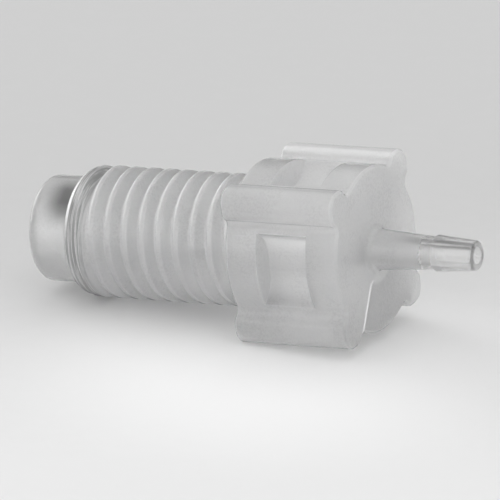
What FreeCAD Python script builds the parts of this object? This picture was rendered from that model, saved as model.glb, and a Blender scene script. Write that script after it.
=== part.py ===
"""Threaded tube adapter, moulded in one piece from translucent polypropylene.

A smooth pilot, a 1/4-28 thread, a finger grip and a single-barb hose stem follow each other on one
axis, and one stepped bore runs through them all. All sizes are in millimetres.
The piece is drawn along X, with X = 0 at the thread side of the grip, and is then turned into the
pose in which it lies on a table: on the thread's first crest, the rim of a plate and a lobe's corner.
"""
import FreeCAD, Part
import math
import os

V = FreeCAD.Vector
AXIS = V(1, 0, 0)
ORIGIN = V(0, 0, 0)

# Pilot: the smooth nose that enters the port before the thread
PILOT_DIAMETER = 5.0
PILOT_LENGTH = 2.2
PILOT_EDGE_RADIUS = 0.25

# Thread: 1/4-28 UNF, at the low end of its moulded diameter
THREAD_DIAMETER = 6.2
THREAD_PITCH = 25.4 / 28
THREAD_LENGTH = 9.2
THREAD_DEPTH = 0.48
THREAD_FLANK_ANGLE = 30.0
THREAD_CREST_WIDTH = 0.24
THREAD_START_ANGLE = 131.5
LEAD_IN_DEPTH = 0.22
LEAD_IN_LENGTH = 0.2
BAND_DEPTH = 0.09
BAND_RISE = 0.04
BAND_END = 0.55

# Grip: a round bar with four lobes, with a pocket in each side that leaves a plate at either end
GRIP_LENGTH = 5.85
GRIP_WIDTH = 7.6
GRIP_EDGE_CHAMFER = 0.1
PLATE_PROUD = 0.12
PLATE_THICKNESS = 1.62
LOBE_WIDTH = 1.08
LOBE_CORNER_RADIUS = 0.78
LOBE_SHOULDER_RADIUS = 0.45
NOTCH_RADIUS = 0.35
POCKET_FLOOR_HEIGHT = 2.64
POCKET_FLOOR_WIDTH = 0.66
POCKET_CORNER_RADIUS = 1.6

# Hose stem with its one barb
STEM_BASE_DIAMETER = 1.95
STEM_NECK_DIAMETER = 1.52
STEM_FILLET_RADIUS = 0.3
BARB_POSITION = 3.25
BARB_DIAMETER = 1.72
BARB_STEP_LENGTH = 0.06
TIP_DIAMETER = 1.4
STEM_LENGTH = 5.25
TIP_EDGE_RADIUS = 0.1

# Bore: wide in the threaded half, narrow through the stem
BORE_DIAMETER = 2.5
BORE_MOUTH_CHAMFER = 0.15
BORE_END = 3.6
BORE_CONE_ANGLE = 59.0
STEM_BORE_DIAMETER = 0.8

# How far a tool or a joint runs past the surface that it meets
OVERRUN = 0.3

# Places on the axis and half sizes that several features share
SHOULDER = -THREAD_LENGTH
NOSE = SHOULDER - PILOT_LENGTH
TIP = GRIP_LENGTH + STEM_LENGTH
FIRST_CREST = SHOULDER + BAND_END
THREAD_RADIUS = THREAD_DIAMETER / 2
HALF_GRIP = GRIP_WIDTH / 2
PLATE_RADIUS = HALF_GRIP + PLATE_PROUD
LOBE_CENTRE = HALF_GRIP - LOBE_CORNER_RADIUS


def polar(radius, angle):
    """Point of the YZ plane at this radius and at this angle from +Y, in radians."""
    return V(0, radius * math.cos(angle), radius * math.sin(angle))


def arc(start, middle, end):
    return Part.Arc(start, middle, end).toShape()


def line(start, end):
    return Part.LineSegment(start, end).toShape()


def rounding(before, corner, after, radius):
    """Start, middle and end of the arc that rounds a corner between its two neighbours."""
    back = (before - corner).normalize()
    ahead = (after - corner).normalize()
    half = back.getAngle(ahead) / 2
    reach = radius / math.tan(half)
    middle = corner + (back + ahead).normalize() * (radius / math.sin(half) - radius)
    return corner + back * reach, middle, corner + ahead * reach


def turned(corners):
    """Solid of revolution about X through corners, each given as x, radius and edge rounding."""
    points = [V(x, 0, radius) for x, radius, _ in corners]
    after = points[1:] + points[:1]
    bends = [rounding(points[i - 1], points[i], after[i], corner[2]) for i, corner in enumerate(corners)]
    edges = []
    for i, (start, middle, end) in enumerate(bends):
        edges.append(line(bends[i - 1][2], start))
        if corners[i][2] > 0:
            edges.append(arc(start, middle, end))
    return Part.Face(Part.Wire(edges)).revolve(ORIGIN, AXIS, 360)


def pilot():
    """Smooth nose with a rounded outer edge, as far as the thread."""
    radius = PILOT_DIAMETER / 2
    return turned([
        (NOSE, 0, 0),
        (NOSE, radius, PILOT_EDGE_RADIUS),
        (SHOULDER + OVERRUN, radius, 0),
        (SHOULDER + OVERRUN, 0, 0),
    ])


def thread_blank():
    """The thread before its groove: lead-in cone, faintly tapered band, full diameter, root in the grip."""
    return turned([
        (SHOULDER, 0, 0),
        (SHOULDER, THREAD_RADIUS - LEAD_IN_DEPTH, 0),
        (SHOULDER + LEAD_IN_LENGTH, THREAD_RADIUS - BAND_DEPTH, 0),
        (FIRST_CREST, THREAD_RADIUS - BAND_DEPTH + BAND_RISE, 0),
        (FIRST_CREST, THREAD_RADIUS, 0),
        (THREAD_PITCH, THREAD_RADIUS, 0),
        (THREAD_PITCH, 0, 0),
    ])


def thread_groove():
    """The 60 degree groove as one solid, wound right-handed from the plain band into the grip."""
    root = THREAD_RADIUS - THREAD_DEPTH
    outside = THREAD_RADIUS + OVERRUN / 2
    slope = math.tan(math.radians(THREAD_FLANK_ANGLE))
    half_crest = (THREAD_PITCH - THREAD_CREST_WIDTH) / 2
    half_root = half_crest - THREAD_DEPTH * slope
    half_outside = half_root + (outside - root) * slope
    outline = [(root, half_root), (outside, half_outside), (outside, -half_outside), (root, -half_root)]
    corners = [V(radius, 0, height) for radius, height in outline]
    profile = Part.Wire(Part.makePolygon(corners + corners[:1]))
    groove_start = FIRST_CREST + THREAD_CREST_WIDTH
    helix = Part.makeHelix(THREAD_PITCH, THREAD_PITCH / 2 - groove_start, THREAD_RADIUS)
    groove = Part.Wire(helix.Edges).makePipeShell([profile], True, True)
    groove.rotate(ORIGIN, V(0, 0, 1), THREAD_START_ANGLE)
    groove.rotate(ORIGIN, V(0, 1, 0), 90)
    groove.translate(V(groove_start, 0, 0))
    return groove


def quarter_turns(shapes):
    """These shapes of the upper side, repeated on all four sides of the axis."""
    copies = []
    for side in range(4):
        for shape in shapes:
            copy = shape.copy()
            copy.rotate(ORIGIN, AXIS, 90 * side)
            copies.append(copy)
    return copies


def mirrored(point):
    """The same point on the other half of the upper side."""
    return V(point.x, -point.y, point.z)


def toward(centre, target, distance):
    """Point at this distance from the centre, in the direction of the target."""
    return centre + (target - centre).normalize() * distance


def lobe_corner(flat_start):
    """Flat top and round corner of the lobe at +Y +Z, from the flat's start to the other flat's."""
    centre = V(0, LOBE_CENTRE, LOBE_CENTRE)
    top_end = V(0, LOBE_CENTRE, HALF_GRIP)
    side_start = V(0, HALF_GRIP, LOBE_CENTRE)
    return [
        line(flat_start, top_end),
        arc(top_end, centre + polar(LOBE_CORNER_RADIUS, math.pi / 4), side_start),
        line(side_start, V(0, HALF_GRIP, flat_start.y)),
    ]


def grip_side():
    """One side of the grip's outline: a plate's arc, then a round notch and a lobe at each end."""
    flat_start = V(0, HALF_GRIP - LOBE_WIDTH, HALF_GRIP)
    shoulder = flat_start - V(0, 0, LOBE_SHOULDER_RADIUS)
    # The notch touches the plate and the lobe's shoulder, so its centre lies on two circles
    to_axis = PLATE_RADIUS + NOTCH_RADIUS
    to_shoulder = LOBE_SHOULDER_RADIUS + NOTCH_RADIUS
    span = shoulder.Length
    opening = math.acos((to_axis ** 2 + span ** 2 - to_shoulder ** 2) / (2 * to_axis * span))
    notch = polar(to_axis, math.atan2(shoulder.z, shoulder.y) + opening)
    on_plate = toward(ORIGIN, notch, PLATE_RADIUS)
    on_shoulder = toward(notch, shoulder, NOTCH_RADIUS)
    notch_middle = toward(notch, (on_plate + on_shoulder) * 0.5, NOTCH_RADIUS)
    shoulder_middle = toward(shoulder, (on_shoulder + flat_start) * 0.5, LOBE_SHOULDER_RADIUS)
    rise = [(on_plate, notch_middle, on_shoulder), (on_shoulder, shoulder_middle, flat_start)]
    fall = [tuple(mirrored(point) for point in step) for step in rise]
    steps = fall + [(mirrored(on_plate), V(0, 0, PLATE_RADIUS), on_plate)] + rise
    return [arc(*step) for step in steps] + lobe_corner(flat_start)


def lobed_bar():
    """The grip's outline through its whole length, with the rims of both end faces broken."""
    wire = Part.Wire(Part.__sortEdges__(quarter_turns(grip_side())))
    bar = Part.Face(wire).extrude(V(GRIP_LENGTH, 0, 0))
    rims = [edge for edge in bar.Edges if edge.BoundBox.XLength < GRIP_LENGTH / 2]
    return bar.makeChamfer(GRIP_EDGE_CHAMFER, rims)


def pocket():
    """Hollow between the two end plates, on the upper side: a narrow flat floor and round flanks."""
    radius = POCKET_CORNER_RADIUS
    floor_end = V(PLATE_THICKNESS, POCKET_FLOOR_WIDTH / 2, POCKET_FLOOR_HEIGHT)
    centre = floor_end + V(0, 0, radius)
    flank_end = centre + V(0, radius, 0)
    mouth = V(flank_end.x, flank_end.y, max(flank_end.z, PLATE_RADIUS) + OVERRUN)
    edges = [
        line(mirrored(floor_end), floor_end),
        arc(floor_end, centre + polar(radius, -math.pi / 4), flank_end),
        line(flank_end, mouth),
        line(mouth, mirrored(mouth)),
        line(mirrored(mouth), mirrored(flank_end)),
        arc(mirrored(flank_end), mirrored(centre) + polar(radius, -3 * math.pi / 4), mirrored(floor_end)),
    ]
    return Part.Face(Part.Wire(edges)).extrude(V(GRIP_LENGTH - 2 * PLATE_THICKNESS, 0, 0))


def grip():
    """Lobed bar with a pocket in each of its four sides."""
    return lobed_bar().cut(quarter_turns([pocket()]))


def stem():
    """Tapered stem with one barb, standing on the free face of the grip."""
    base = STEM_BASE_DIAMETER / 2
    flare = base + STEM_FILLET_RADIUS + OVERRUN
    barb = GRIP_LENGTH + BARB_POSITION
    return turned([
        (GRIP_LENGTH - OVERRUN, 0, 0),
        (GRIP_LENGTH - OVERRUN, flare, 0),
        (GRIP_LENGTH, flare, 0),
        (GRIP_LENGTH, base, STEM_FILLET_RADIUS),
        (barb - BARB_STEP_LENGTH, STEM_NECK_DIAMETER / 2, 0),
        (barb, BARB_DIAMETER / 2, 0),
        (TIP, TIP_DIAMETER / 2, TIP_EDGE_RADIUS),
        (TIP, 0, 0),
    ])


def bore():
    """The passage: a chamfered mouth, the wide bore, a cone, and the narrow bore of the stem."""
    wide = BORE_DIAMETER / 2
    narrow = STEM_BORE_DIAMETER / 2
    cone_length = (wide - narrow) / math.tan(math.radians(BORE_CONE_ANGLE))
    return turned([
        (NOSE - OVERRUN, 0, 0),
        (NOSE - OVERRUN, wide + BORE_MOUTH_CHAMFER + OVERRUN, 0),
        (NOSE + BORE_MOUTH_CHAMFER, wide, 0),
        (BORE_END - cone_length, wide, 0),
        (BORE_END, narrow, 0),
        (TIP + OVERRUN, narrow, 0),
        (TIP + OVERRUN, 0, 0),
    ])


def tilt_onto(x, radius, rounding):
    """Angle in degrees at which one plane touches the plate's rim and another rim, rounded as given."""
    run = GRIP_EDGE_CHAMFER - x
    drop = PLATE_RADIUS - radius
    return math.degrees(math.atan2(drop, run) - math.asin(rounding / math.hypot(run, drop)))


def resting_tilt():
    """Angle, barb end up, at which the thread's crest, its plain band or the pilot's rim comes down."""
    rim = PILOT_DIAMETER / 2 - PILOT_EDGE_RADIUS
    return min(
        tilt_onto(FIRST_CREST, THREAD_RADIUS, 0),
        tilt_onto(SHOULDER + LEAD_IN_LENGTH, THREAD_RADIUS - BAND_DEPTH, 0),
        tilt_onto(NOSE + PILOT_EDGE_RADIUS, rim, PILOT_EDGE_RADIUS),
    )


def resting_roll():
    """Angle in degrees by which the piece rolls on its plates until a lobe's corner touches."""
    lift = (PLATE_RADIUS - LOBE_CORNER_RADIUS) / (LOBE_CENTRE * math.sqrt(2))
    return math.degrees(math.asin(lift)) - 45


def laid_down(shape):
    """The piece in its resting pose, with the middle of its footprint at the origin."""
    shape.rotate(ORIGIN, AXIS, resting_roll())
    shape.rotate(ORIGIN, V(0, 1, 0), -resting_tilt())
    box = shape.optimalBoundingBox(True, False)
    shape.translate(V(-box.Center.x, -box.Center.y, -box.ZMin))
    return shape


def adapter():
    thread = thread_blank().cut(thread_groove())
    body = pilot().fuse([thread, grip(), stem()])
    return laid_down(body.cut(bore()).removeSplitter())


def main():
    os.makedirs("parts", exist_ok=True)
    piece = adapter()
    piece.exportStep("parts/adapter.step")
    print("solids", len(piece.Solids), "valid", piece.isValid(), "volume", round(piece.Volume, 2))
    print("box", piece.optimalBoundingBox(True, False))
    print("tilt", round(resting_tilt(), 3), "roll", round(resting_roll(), 3))


main()
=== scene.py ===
"""Looks of the threaded tube adapter: translucent polypropylene on a pale floor under soft light."""
import functools
import math
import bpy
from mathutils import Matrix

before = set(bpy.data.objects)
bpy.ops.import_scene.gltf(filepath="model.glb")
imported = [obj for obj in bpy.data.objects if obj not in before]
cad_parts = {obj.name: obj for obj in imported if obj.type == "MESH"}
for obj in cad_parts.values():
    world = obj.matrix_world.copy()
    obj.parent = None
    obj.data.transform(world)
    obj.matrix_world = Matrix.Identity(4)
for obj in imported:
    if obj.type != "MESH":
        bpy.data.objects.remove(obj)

from types import SimpleNamespace

import bpy
from mathutils import Matrix, Vector

MM = 0.001

# Camera as it stood for the photograph, with angles in degrees
CAMERA_TARGET = Vector((0.0363, -1.199, 3.8238)) * MM
CAMERA_DISTANCE = 409.4 * MM
CAMERA_AZIMUTH = 28.758
CAMERA_ELEVATION = 19.578
CAMERA_ROLL = -0.851
CAMERA_LENS = 635.4

# The piece's own axis, from the grip's thread side and rising towards the barb, with angles in degrees
AXIS_TILT = 5.354
AXIS_ROLL = 2.324
AXIS_ORIGIN = Vector((0.22629, 0, 3.89357)) * MM

# Floor: painted shade by depth from front to back, mottle and finish, and a painted lighter patch, in
# metres
FLOOR_SIZE = 3.0
FLOOR_GRADIENT = (-0.020, 0.020)
FLOOR_FRONT = 0.79
FLOOR_BACK = 0.59
FLOOR_MOTTLE = 0.12
FLOOR_MOTTLE_SCALE = 900.0
FLOOR_MOTTLE_DETAIL = 4.0
FLOOR_ROUGHNESS = 0.8
FLOOR_SPECULAR = 0.2
PAINTED_GLOW_PLACE = Vector((1.0, -7.0, 0)) * MM
PAINTED_GLOW_REACH = (0.003, 0.015)
PAINTED_GLOW_SHADE = 0.89

# World: a pale front, a dark back, a white top and a bright window far to the left, by direction
SKY_FRONT = 1.30
SKY_BACK = 0.25
SKY_TOP = 1.0
SKY_TURN = (-0.3, 0.6)
SKY_RISE = (0.3, 0.6)
WINDOW_SIDE = Vector((-0.933, 0.25, 0.259))
WINDOW_EDGE = (0.9, 0.97)
WINDOW_LIGHT = 3.0

# Key lamp: a faint disk high behind the piece, with angles in degrees and lengths in metres
KEY_AZIMUTH = 200.0
KEY_ELEVATION = 60.0
KEY_DISTANCE = 0.6
KEY_SIZE = 0.35
KEY_ENERGY = 0.05

# Plastic: its milk, how far light wanders in it, and its finish where it is frosted and where clear
MILK_DARK = 0.89
MILK_LIGHT = 0.94
# Painted light: the thread is painted whiter than the grip, which lifts its shade
THREAD_PAINTED_LIGHT = 0.8
THREAD_END = (-0.5, 0.5)
SCATTER_LENGTH = 6 * MM
REFRACTION = 1.49
FROSTED_ROUGHNESS = 0.6
FROSTED_TRANSMISSION = 0.78
CLEAR_ROUGHNESS = 0.12
CLEAR_TRANSMISSION = 0.9
CLEAR_SHADE = 0.98
COAT_ROUGHNESS = 0.1

# Clear zones, by place along the axis and by distance from it, in millimetres
PILOT_FADE = (-9.3, -9.15)
PILOT_CLARITY = 0.25
STEM_FADE = (6.2, 9.8)
STEM_REACH = (1.2, 1.6)

# Painted dark reflection in the clear zones: angle from the top towards the front and half width, in
# degrees
PILOT_REFLECTION_ANGLE = 31.0
STEM_REFLECTION_ANGLE = 27.0
PILOT_REFLECTION_WIDTH = 44.0
STEM_REFLECTION_WIDTH = 23.0

# Painted dark reflection: how dark it is, the share of its half width that is full, and places in
# millimetres
PILOT_REFLECTION_SHADE = 0.97
STEM_REFLECTION_SHADE = 0.85
DARK_REFLECTION_SHADE = 0.02
REFLECTION_FULL = 0.15
REFLECTION_CHANGE = (-1.0, 1.0)
PILOT_REFLECTION = (-11.4, -9.8)
PILOT_REFLECTION_END = (-9.0, -8.9)
STEM_REFLECTION = (6.6, 9.6)

# End face: a witness line from the stem to a notch, in millimetres and degrees from across to upwards
# The witness line is a raised ridge that is also painted white as a highlight
FACE_START = (5.70, 5.74)
WITNESS_ANGLE = -122.6
WITNESS_REACH = (1.5, 1.7)
WITNESS_WIDTH = (0.05, 0.1)
WITNESS_TOP = (-0.1, 0.0)

# Painted shade: a darker sector of the end face beyond the witness line, edge in radians and end in
# degrees
SECTOR_EDGE = 0.02
SECTOR_END = (-70.0, -10.0)
SECTOR_SHADE = 0.36
SECTOR_TONE = 0.3

# Fine rings and painted shade on the plain band before the first crest, with places in millimetres
BAND_FADE_IN = (-9.15, -9.05)
BAND_FADE_OUT = (-8.4, -8.15)
OUTSIDE_PILOT = (2.6, 2.7)
STREAK_SCALE = (14.0, 0.4, 0.4)
STREAK_RANGE = (0.35, 0.6)
STREAK_LEAST = 0.15
STREAK_SHADE = 0.75
STREAK_DEPTH = 0.02 * MM

# Grain of the mould and clouds in the milk, with scales per millimetre
NOISE_DETAIL = 3.0
NOISE_ROUGHNESS = 0.6
GRAIN_SCALE = 9.0
GRAIN_DEPTH = 0.02 * MM
GRAIN_ROUGHNESS = 0.25
GRAIN_SHADE = 0.12
GRAIN_RANGE = (0.42, 0.62)
GRAIN_CLEAR = 0.1
CLOUD_SCALE = 0.6
CLOUD_RANGE = (0.45, 0.6)
SPECKS_LEAST = 0.25

# Rounded edges with painted highlights whiter than their faces, by place along the axis and height, in
# millimetres
EDGE_ROUNDING = 0.10 * MM
EDGE_SAMPLES = 6
EDGE_BEND = (0.995, 0.9)
EDGE_CRISPNESS = 0.8
THREAD_EDGE_HIGHLIGHT = 0.15
NEAR_RIM = (-0.2, -0.1)
NEAR_RIM_HIGHLIGHT = 1.0
POCKET_EDGES = (0.3, 0.6)
POCKET_EDGE_HIGHLIGHT = 0.25
FAR_RIM = (5.4, 5.6)
FAR_RIM_RISE = (0.5, 2.0)
FAR_RIM_BOTTOM = (-3.7, -3.0)

# Painted light: whiter pocket floors, by place along the axis and distance from it, in millimetres
POCKET_START = (1.63, 1.7)
POCKET_END = (4.1, 4.2)
POCKET_INNER = (1.5, 1.6)
POCKET_OUTER = (3.2, 3.6)
POCKET_PAINTED_LIGHT = 0.25
POCKET_TOP_RISE = (0.4, 1.1)
POCKET_TOP_FRONT = (-2.2, -1.8)
POCKET_TOP_PAINTED_LIGHT = 0.7

# Painted light: whiter rear lobes and hollows beside the lobes, in millimetres
LOBE_REAR = (-1.0, 1.0)
LOBE_REACH = (4.1, 4.5)
LOBE_PAINTED_LIGHT = 0.45
NOTCH_PLACE = 2.2
NOTCH_REACH = (0.03, 0.2)
NOTCH_OUTER = (3.8, 4.0)
NOTCH_END = (5.6, 5.75)
NOTCH_PAINTED_LIGHT = 0.12

# Painted light: whiter rear side of the end face and white mouth of the stem's bore, in millimetres
FACE_REAR = (1.8, 3.4)
FACE_PAINTED_LIGHT = 0.3
MOUTH_START = (9.5, 10.5)
MOUTH_REACH = (0.42, 0.5)

# Painted highlights along the crests' edge and the shoulder's, in millimetres, degrees and shares of the
# pitch
GROOVE_START = -8.41
GROOVE_ANGLE = 131.5
THREAD_PITCH = 0.9071
CREST_EDGE = 0.368
CREST_LINE = (0.02, 0.07)
CREST_REACH = (2.98, 3.04)
LINES_START = (-8.5, -8.2)
LINES_END = (-0.3, -0.1)
LINE_RISE = (0.4, 1.8)
SHOULDER_IN = (-9.16, -9.1)
SHOULDER_OUT = (-9.02, -8.96)

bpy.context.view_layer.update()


def turned_to(azimuth, elevation, roll=0.0):
    """Turn of a camera or a lamp that looks from an azimuth and an elevation, in degrees."""
    return (
        Matrix.Rotation(math.radians(azimuth), 4, "Z")
        @ Matrix.Rotation(math.radians(90 - elevation), 4, "X")
        @ Matrix.Rotation(math.radians(roll), 4, "Z")
    )


def make_camera():
    data = bpy.data.cameras.new("camera")
    data.lens = CAMERA_LENS
    camera = bpy.data.objects.new("camera", data)
    bpy.context.scene.collection.objects.link(camera)
    turn = turned_to(CAMERA_AZIMUTH, CAMERA_ELEVATION, CAMERA_ROLL)
    place = CAMERA_TARGET + turn @ Vector((0, 0, CAMERA_DISTANCE))
    camera.matrix_world = Matrix.Translation(place) @ turn
    bpy.context.scene.camera = camera


def make_key_lamp():
    data = bpy.data.lights.new("key", "AREA")
    data.shape = "DISK"
    data.size = KEY_SIZE
    data.energy = KEY_ENERGY
    lamp = bpy.data.objects.new("key", data)
    bpy.context.scene.collection.objects.link(lamp)
    turn = turned_to(KEY_AZIMUTH, KEY_ELEVATION)
    lamp.matrix_world = Matrix.Translation(turn @ Vector((0, 0, KEY_DISTANCE))) @ turn


def new_material(name):
    material = bpy.data.materials.new(name)
    material.use_nodes = True
    tree = material.node_tree
    return material, tree, tree.nodes["Principled BSDF"]


def add_node(tree, kind, inputs=None, **settings):
    """A shader node with these settings; an input is a value or the socket that feeds it."""
    node = tree.nodes.new(kind)
    for name, value in settings.items():
        setattr(node, name, value)
    for name, value in (inputs or {}).items():
        feed(tree, node.inputs[name], value)
    return node


def feed(tree, socket, value):
    """Links an input to the socket that feeds it, or sets it to a value."""
    if isinstance(value, bpy.types.NodeSocket):
        tree.links.new(value, socket)
    else:
        socket.default_value = value


def calculate(tree, operation, first, second=0.0, third=0.0):
    """Result of a Math node."""
    inputs = {0: first, 1: second, 2: third}
    return add_node(tree, "ShaderNodeMath", inputs, operation=operation).outputs[0]


def product(tree, *values):
    return functools.reduce(lambda first, second: calculate(tree, "MULTIPLY", first, second), values)


def largest(tree, *values):
    return functools.reduce(lambda first, second: calculate(tree, "MAXIMUM", first, second), values)


def distance(tree, first, second):
    """How far one number lies from another."""
    return calculate(tree, "ABSOLUTE", calculate(tree, "SUBTRACT", first, second))


def dot_product(tree, first, second):
    node = add_node(tree, "ShaderNodeVectorMath", {0: first, 1: second}, operation="DOT_PRODUCT")
    return node.outputs["Value"]


def ramp(tree, value, start, end, low=0.0, high=1.0):
    """Smooth step of a value from low at its start to high at its end."""
    inputs = {"Value": value, "From Min": start, "From Max": end, "To Min": low, "To Max": high}
    node = add_node(tree, "ShaderNodeMapRange", inputs, interpolation_type="SMOOTHSTEP")
    return node.outputs["Result"]


def between(tree, value, rise, fall):
    """From 0 to 1 over the rise of a value, and back to 0 over its fall."""
    return product(tree, ramp(tree, value, *rise), ramp(tree, value, *fall, 1.0, 0.0))


def grey(level):
    return (level, level, level, 1.0)


def blend(tree, factor, first, second):
    """Mix of two colours by a factor from 0 to 1."""
    node = add_node(tree, "ShaderNodeMix", {0: factor}, data_type="RGBA")
    feed(tree, node.inputs[6], first)
    feed(tree, node.inputs[7], second)
    return node.outputs[2]


def mix_values(tree, factor, first, second):
    """Mix of two numbers by a factor from 0 to 1."""
    return add_node(tree, "ShaderNodeMix", {0: factor, 2: first, 3: second}).outputs[0]


def noise(tree, place, scale, detail=NOISE_DETAIL):
    inputs = {"Vector": place, "Scale": scale, "Detail": detail, "Roughness": NOISE_ROUGHNESS}
    return add_node(tree, "ShaderNodeTexNoise", inputs).outputs["Fac"]


def floor_material():
    """Pale paper with painted shade towards the back, painted light around the piece and a faint mottle.
    """
    material, tree, shader = new_material("floor_paper")
    inputs = {
        "Vector": add_node(tree, "ShaderNodeTexCoord").outputs["Object"],
        "Rotation": (0, 0, math.radians(CAMERA_AZIMUTH)),
    }
    turned = add_node(tree, "ShaderNodeMapping", inputs, vector_type="TEXTURE").outputs[0]
    depth = add_node(tree, "ShaderNodeSeparateXYZ", {0: turned}).outputs["Y"]
    mottle = noise(tree, turned, FLOOR_MOTTLE_SCALE, FLOOR_MOTTLE_DETAIL)
    tone = calculate(tree, "MULTIPLY_ADD", mottle, FLOOR_MOTTLE, -FLOOR_MOTTLE / 2)
    # Painted shade: the floor darkens from front to back by depth
    shade = calculate(tree, "ADD", ramp(tree, depth, *FLOOR_GRADIENT), tone)
    plain = blend(tree, shade, grey(FLOOR_FRONT), grey(FLOOR_BACK))
    # Painted light: a lighter patch on the floor around the piece
    away = add_node(tree, "ShaderNodeVectorMath", {0: turned, 1: PAINTED_GLOW_PLACE}, operation="DISTANCE")
    painted_glow = ramp(tree, away.outputs["Value"], *PAINTED_GLOW_REACH, 1.0, 0.0)
    tree.links.new(blend(tree, painted_glow, plain, grey(PAINTED_GLOW_SHADE)), shader.inputs["Base Color"])
    shader.inputs["Roughness"].default_value = FLOOR_ROUGHNESS
    shader.inputs["Specular IOR Level"].default_value = FLOOR_SPECULAR
    return material


def make_floor():
    bpy.ops.mesh.primitive_plane_add(size=FLOOR_SIZE)
    floor = bpy.context.object
    floor.name = "floor"
    floor.data.materials.append(floor_material())


def piece_frame(tree):
    """Place in millimetres in the piece's own frame, with its parts and its distance from the axis."""
    inputs = {
        "Vector": add_node(tree, "ShaderNodeTexCoord").outputs["Object"],
        "Location": AXIS_ORIGIN,
        "Rotation": (math.radians(AXIS_ROLL), -math.radians(AXIS_TILT), 0),
        "Scale": (MM, MM, MM),
    }
    place = add_node(tree, "ShaderNodeMapping", inputs, vector_type="TEXTURE").outputs[0]
    axial, across, upward = add_node(tree, "ShaderNodeSeparateXYZ", {0: place}).outputs
    squared = calculate(tree, "MULTIPLY_ADD", across, across, product(tree, upward, upward))
    radius = calculate(tree, "SQRT", squared)
    return SimpleNamespace(place=place, axial=axial, across=across, upward=upward, radius=radius)


def clear_zones(tree, at):
    """Where the plastic is clear, from 0 to 1: the pilot, and the stem more and more towards its tip."""
    pilot = ramp(tree, at.axial, *PILOT_FADE, PILOT_CLARITY, 0.0)
    stem = product(tree, ramp(tree, at.axial, *STEM_FADE), ramp(tree, at.radius, *STEM_REACH, 1.0, 0.0))
    return calculate(tree, "ADD", pilot, stem)


def painted_dark_reflection(tree, at, clear):
    """Painted dark reflection on the clear plastic, from 0 to 1: a soft stripe along its upper front."""
    def by_end(on_pilot, on_stem):
        return ramp(tree, at.axial, *REFLECTION_CHANGE, math.radians(on_pilot), math.radians(on_stem))

    angle = calculate(tree, "ARCTAN2", product(tree, at.across, -1.0), at.upward)
    off = distance(tree, angle, by_end(PILOT_REFLECTION_ANGLE, STEM_REFLECTION_ANGLE))
    share = calculate(tree, "DIVIDE", off, by_end(PILOT_REFLECTION_WIDTH, STEM_REFLECTION_WIDTH))
    stripe = ramp(tree, share, REFLECTION_FULL, 1.0, 1.0, 0.0)
    fading = ramp(tree, clear, 0.0, PILOT_CLARITY, 0.0, PILOT_REFLECTION_SHADE)
    pilot = product(tree, between(tree, at.axial, PILOT_REFLECTION, PILOT_REFLECTION_END), fading)
    stem = ramp(tree, at.axial, *STEM_REFLECTION, 0.0, STEM_REFLECTION_SHADE)
    return product(tree, stripe, calculate(tree, "ADD", pilot, stem))


def end_face_line_and_shade(tree, at):
    """On the end face, from 0 to 1: the witness line with its painted highlight, and painted shade beyond
    it.
    """
    turn = math.radians(WITNESS_ANGLE)
    sideways = product(tree, at.upward, -math.cos(turn))
    off = calculate(tree, "MULTIPLY_ADD", at.across, math.sin(turn), sideways)
    beside = ramp(tree, calculate(tree, "ABSOLUTE", off), *WITNESS_WIDTH, 1.0, 0.0)
    below = ramp(tree, at.upward, *WITNESS_TOP, 1.0, 0.0)
    face = product(tree, ramp(tree, at.axial, *FACE_START), ramp(tree, at.radius, *WITNESS_REACH))
    angle = calculate(tree, "ARCTAN2", at.upward, at.across)
    begin = ramp(tree, angle, turn, turn + SECTOR_EDGE)
    fade = ramp(tree, angle, *(math.radians(end) for end in SECTOR_END), 1.0, 0.0)
    return product(tree, beside, below, face), product(tree, begin, fade, face)


def band_rings_and_shade(tree, at):
    """Fine rings on the plain band, with painted shade darkening all of it, from 0 to 1."""
    rings = add_node(tree, "ShaderNodeMapping", {"Vector": at.place, "Scale": STREAK_SCALE}).outputs[0]
    streaks = ramp(tree, noise(tree, rings, 1.0), *STREAK_RANGE, STREAK_LEAST, 1.0)
    band = between(tree, at.axial, BAND_FADE_IN, BAND_FADE_OUT)
    return product(tree, band, ramp(tree, at.radius, *OUTSIDE_PILOT), streaks)


def rounded_edges(tree):
    """Normal with the moulded edges slightly round, and where those edges are, from 0 to 1."""
    inputs = {"Radius": EDGE_ROUNDING}
    normal = add_node(tree, "ShaderNodeBevel", inputs, samples=EDGE_SAMPLES).outputs[0]
    flat = add_node(tree, "ShaderNodeNewGeometry").outputs["Normal"]
    return normal, ramp(tree, dot_product(tree, normal, flat), *EDGE_BEND)


def edge_highlights(tree, at):
    """Painted highlight on the edges: full on the near rim and at the far rim's top and bottom, less
    elsewhere.
    """
    near = ramp(tree, at.axial, *NEAR_RIM, THREAD_EDGE_HIGHLIGHT, NEAR_RIM_HIGHLIGHT)
    pockets = mix_values(tree, ramp(tree, at.axial, *POCKET_EDGES), near, POCKET_EDGE_HIGHLIGHT)
    bottom = ramp(tree, at.upward, *FAR_RIM_BOTTOM, 1.0, 0.0)
    far = largest(tree, ramp(tree, at.upward, *FAR_RIM_RISE), bottom)
    return mix_values(tree, ramp(tree, at.axial, *FAR_RIM), pockets, far)


def pocket_painted_light(tree, at):
    """Painted light: whiter floors of the pockets, between the two plates, whitest high on the front side.
    """
    floors = between(tree, at.radius, POCKET_INNER, POCKET_OUTER)
    front = ramp(tree, at.across, *POCKET_TOP_FRONT, 1.0, 0.0)
    top = product(tree, ramp(tree, at.upward, *POCKET_TOP_RISE), front)
    light_paint = mix_values(tree, top, POCKET_PAINTED_LIGHT, POCKET_TOP_PAINTED_LIGHT)
    return product(tree, between(tree, at.axial, POCKET_START, POCKET_END), floors, light_paint)


def lobe_painted_light(tree, at):
    """Painted light: whiter lobes at the rear."""
    lobes = ramp(tree, at.radius, *LOBE_REACH, 0.0, LOBE_PAINTED_LIGHT)
    return product(tree, ramp(tree, at.across, *LOBE_REAR), lobes)


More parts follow.
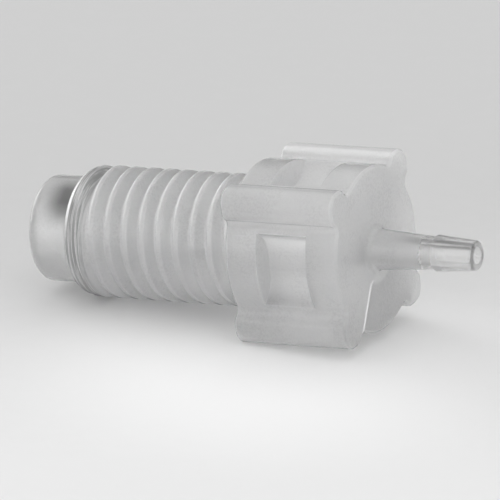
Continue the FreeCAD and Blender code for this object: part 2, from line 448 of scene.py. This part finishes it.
def notch_painted_light(tree, at):
    """Painted light: whiter hollows beside the lobes."""
    ways = [calculate(tree, "ABSOLUTE", way) for way in (at.across, at.upward)]
    off = distance(tree, calculate(tree, "MINIMUM", *ways), NOTCH_PLACE)
    hollow = ramp(tree, off, *NOTCH_REACH, NOTCH_PAINTED_LIGHT, 0.0)
    outside = ramp(tree, at.radius, *NOTCH_OUTER)
    return product(tree, hollow, outside, ramp(tree, at.axial, *NOTCH_END, 1.0, 0.0))


def face_painted_light(tree, at):
    """Painted light: a whiter rear side of the end face, and a white mouth of the stem's bore."""
    rear = ramp(tree, at.across, *FACE_REAR, 0.0, FACE_PAINTED_LIGHT)
    bore = ramp(tree, at.radius, *MOUTH_REACH, 1.0, 0.0)
    side = product(tree, ramp(tree, at.axial, *FACE_START), rear)
    return largest(tree, side, product(tree, ramp(tree, at.axial, *MOUTH_START), bore))


def thread_highlights(tree, at):
    """Painted highlights along the crests' edge and the shoulder's edge, in their upper part, from 0 to 1.
    """
    angle = calculate(tree, "ARCTAN2", at.across, product(tree, at.upward, -1.0))
    turned = calculate(tree, "SUBTRACT", angle, math.radians(GROOVE_ANGLE))
    turns = calculate(tree, "DIVIDE", turned, math.tau)
    along = calculate(tree, "DIVIDE", calculate(tree, "SUBTRACT", at.axial, GROOVE_START), THREAD_PITCH)
    phase = calculate(tree, "FRACT", calculate(tree, "SUBTRACT", along, turns))
    crest = product(
        tree,
        ramp(tree, distance(tree, phase, CREST_EDGE), *CREST_LINE, 1.0, 0.0),
        ramp(tree, at.radius, *CREST_REACH),
        between(tree, at.axial, LINES_START, LINES_END),
    )
    edge = between(tree, at.axial, SHOULDER_IN, SHOULDER_OUT)
    shoulder = product(tree, edge, ramp(tree, at.radius, *OUTSIDE_PILOT))
    return product(tree, largest(tree, crest, shoulder), ramp(tree, at.upward, *LINE_RISE))


def plastic_colour(tree, at, clear, grain, marks, shaded_sector, painted_white):
    """Milk with specks, band rings, painted shade and light, then clear zones and a painted dark
    reflection.
    """
    cloud = noise(tree, at.place, CLOUD_SCALE)
    grip_milk = blend(tree, cloud, grey(MILK_DARK), grey(MILK_LIGHT))
    # Painted light: the thread painted whiter than the grip
    colour = blend(tree, ramp(tree, at.axial, *THREAD_END, THREAD_PAINTED_LIGHT, 0.0), grip_milk, grey(1.0))
    clouds = ramp(tree, cloud, *CLOUD_RANGE, SPECKS_LEAST, 1.0)
    specks = product(tree, ramp(tree, grain, *GRAIN_RANGE), clouds)
    # Painted shade on the band and end face, painted light and highlights in white, then painted dark
    # reflection
    layers = (
        (product(tree, specks, GRAIN_SHADE), 0.0),
        (product(tree, marks, STREAK_SHADE), 0.0),
        (product(tree, shaded_sector, SECTOR_SHADE), SECTOR_TONE),
        (painted_white, 1.0),
        (clear, CLEAR_SHADE),
        (painted_dark_reflection(tree, at, clear), DARK_REFLECTION_SHADE),
    )
    for amount, level in layers:
        colour = blend(tree, amount, colour, grey(level))
    return colour


def plastic_material():
    """Natural polypropylene: milky and satin on thread and grip, clearer and glossy on pilot and stem."""
    material, tree, shader = new_material("polypropylene")
    at = piece_frame(tree)
    clear = clear_zones(tree, at)
    witness_and_highlight, shaded_sector = end_face_line_and_shade(tree, at)
    marks = band_rings_and_shade(tree, at)
    normal, edge = rounded_edges(tree)
    grain = noise(tree, at.place, GRAIN_SCALE)
    # Painted highlights on edges and lines, painted light on pockets, rear lobes, end face, bore mouth and
    # hollows
    edge_highlight = product(tree, edge, edge_highlights(tree, at))
    highlight_lines = largest(tree, witness_and_highlight, thread_highlights(tree, at))
    crisp = largest(tree, product(tree, edge_highlight, EDGE_CRISPNESS), highlight_lines)
    painted_lights = [light_paint(tree, at) for light_paint in (pocket_painted_light, lobe_painted_light, face_painted_light, notch_painted_light)]
    painted_white = largest(tree, edge_highlight, highlight_lines, *painted_lights)
    least_rough = FROSTED_ROUGHNESS - GRAIN_ROUGHNESS / 2
    frosted = calculate(tree, "MULTIPLY_ADD", grain, GRAIN_ROUGHNESS, least_rough)
    depth = calculate(tree, "MULTIPLY_ADD", painted_white, -FROSTED_TRANSMISSION, FROSTED_TRANSMISSION)
    grained = {
        "Height": grain,
        "Distance": GRAIN_DEPTH,
        "Strength": ramp(tree, clear, 0.0, 1.0, 1.0, GRAIN_CLEAR),
        "Normal": normal,
    }
    streaked = {
        "Height": calculate(tree, "ADD", marks, witness_and_highlight),
        "Distance": STREAK_DEPTH,
        "Normal": normal,
    }
    inputs = {
        "Base Color": plastic_colour(tree, at, clear, grain, marks, shaded_sector, painted_white),
        "Roughness": mix_values(tree, clear, frosted, CLEAR_ROUGHNESS),
        "IOR": REFRACTION,
        "Transmission Weight": mix_values(tree, clear, depth, CLEAR_TRANSMISSION),
        "Subsurface Weight": calculate(tree, "SUBTRACT", 1.0, crisp),
        "Subsurface Radius": (1.0, 1.0, 1.0),
        "Subsurface Scale": SCATTER_LENGTH,
        "Coat Weight": 1.0,
        "Coat Roughness": COAT_ROUGHNESS,
        "Normal": add_node(tree, "ShaderNodeBump", grained).outputs[0],
        "Coat Normal": add_node(tree, "ShaderNodeBump", streaked).outputs[0],
    }
    for name, value in inputs.items():
        feed(tree, shader.inputs[name], value)
    return material


def make_world():
    world = bpy.data.worlds.new("studio")
    world.use_nodes = True
    tree = world.node_tree
    direction = add_node(tree, "ShaderNodeTexCoord").outputs["Generated"]
    height = add_node(tree, "ShaderNodeSeparateXYZ", {0: direction}).outputs["Z"]
    azimuth = math.radians(CAMERA_AZIMUTH)
    front = dot_product(tree, direction, (math.sin(azimuth), -math.cos(azimuth), 0))
    side = ramp(tree, front, *SKY_TURN, SKY_BACK, SKY_FRONT)
    sky = mix_values(tree, ramp(tree, height, *SKY_RISE), side, SKY_TOP)
    toward = dot_product(tree, direction, WINDOW_SIDE)
    window = ramp(tree, toward, *WINDOW_EDGE, 0.0, WINDOW_LIGHT)
    background = tree.nodes["Background"]
    background.inputs["Color"].default_value = grey(1.0)
    tree.links.new(calculate(tree, "ADD", sky, window), background.inputs["Strength"])
    bpy.context.scene.world = world


make_camera()
make_floor()
make_world()
make_key_lamp()
plastic = plastic_material()
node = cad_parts["adapter"]
for slot in node.material_slots:
    slot.material = plastic
bpy.context.scene.view_settings.view_transform = "Standard"
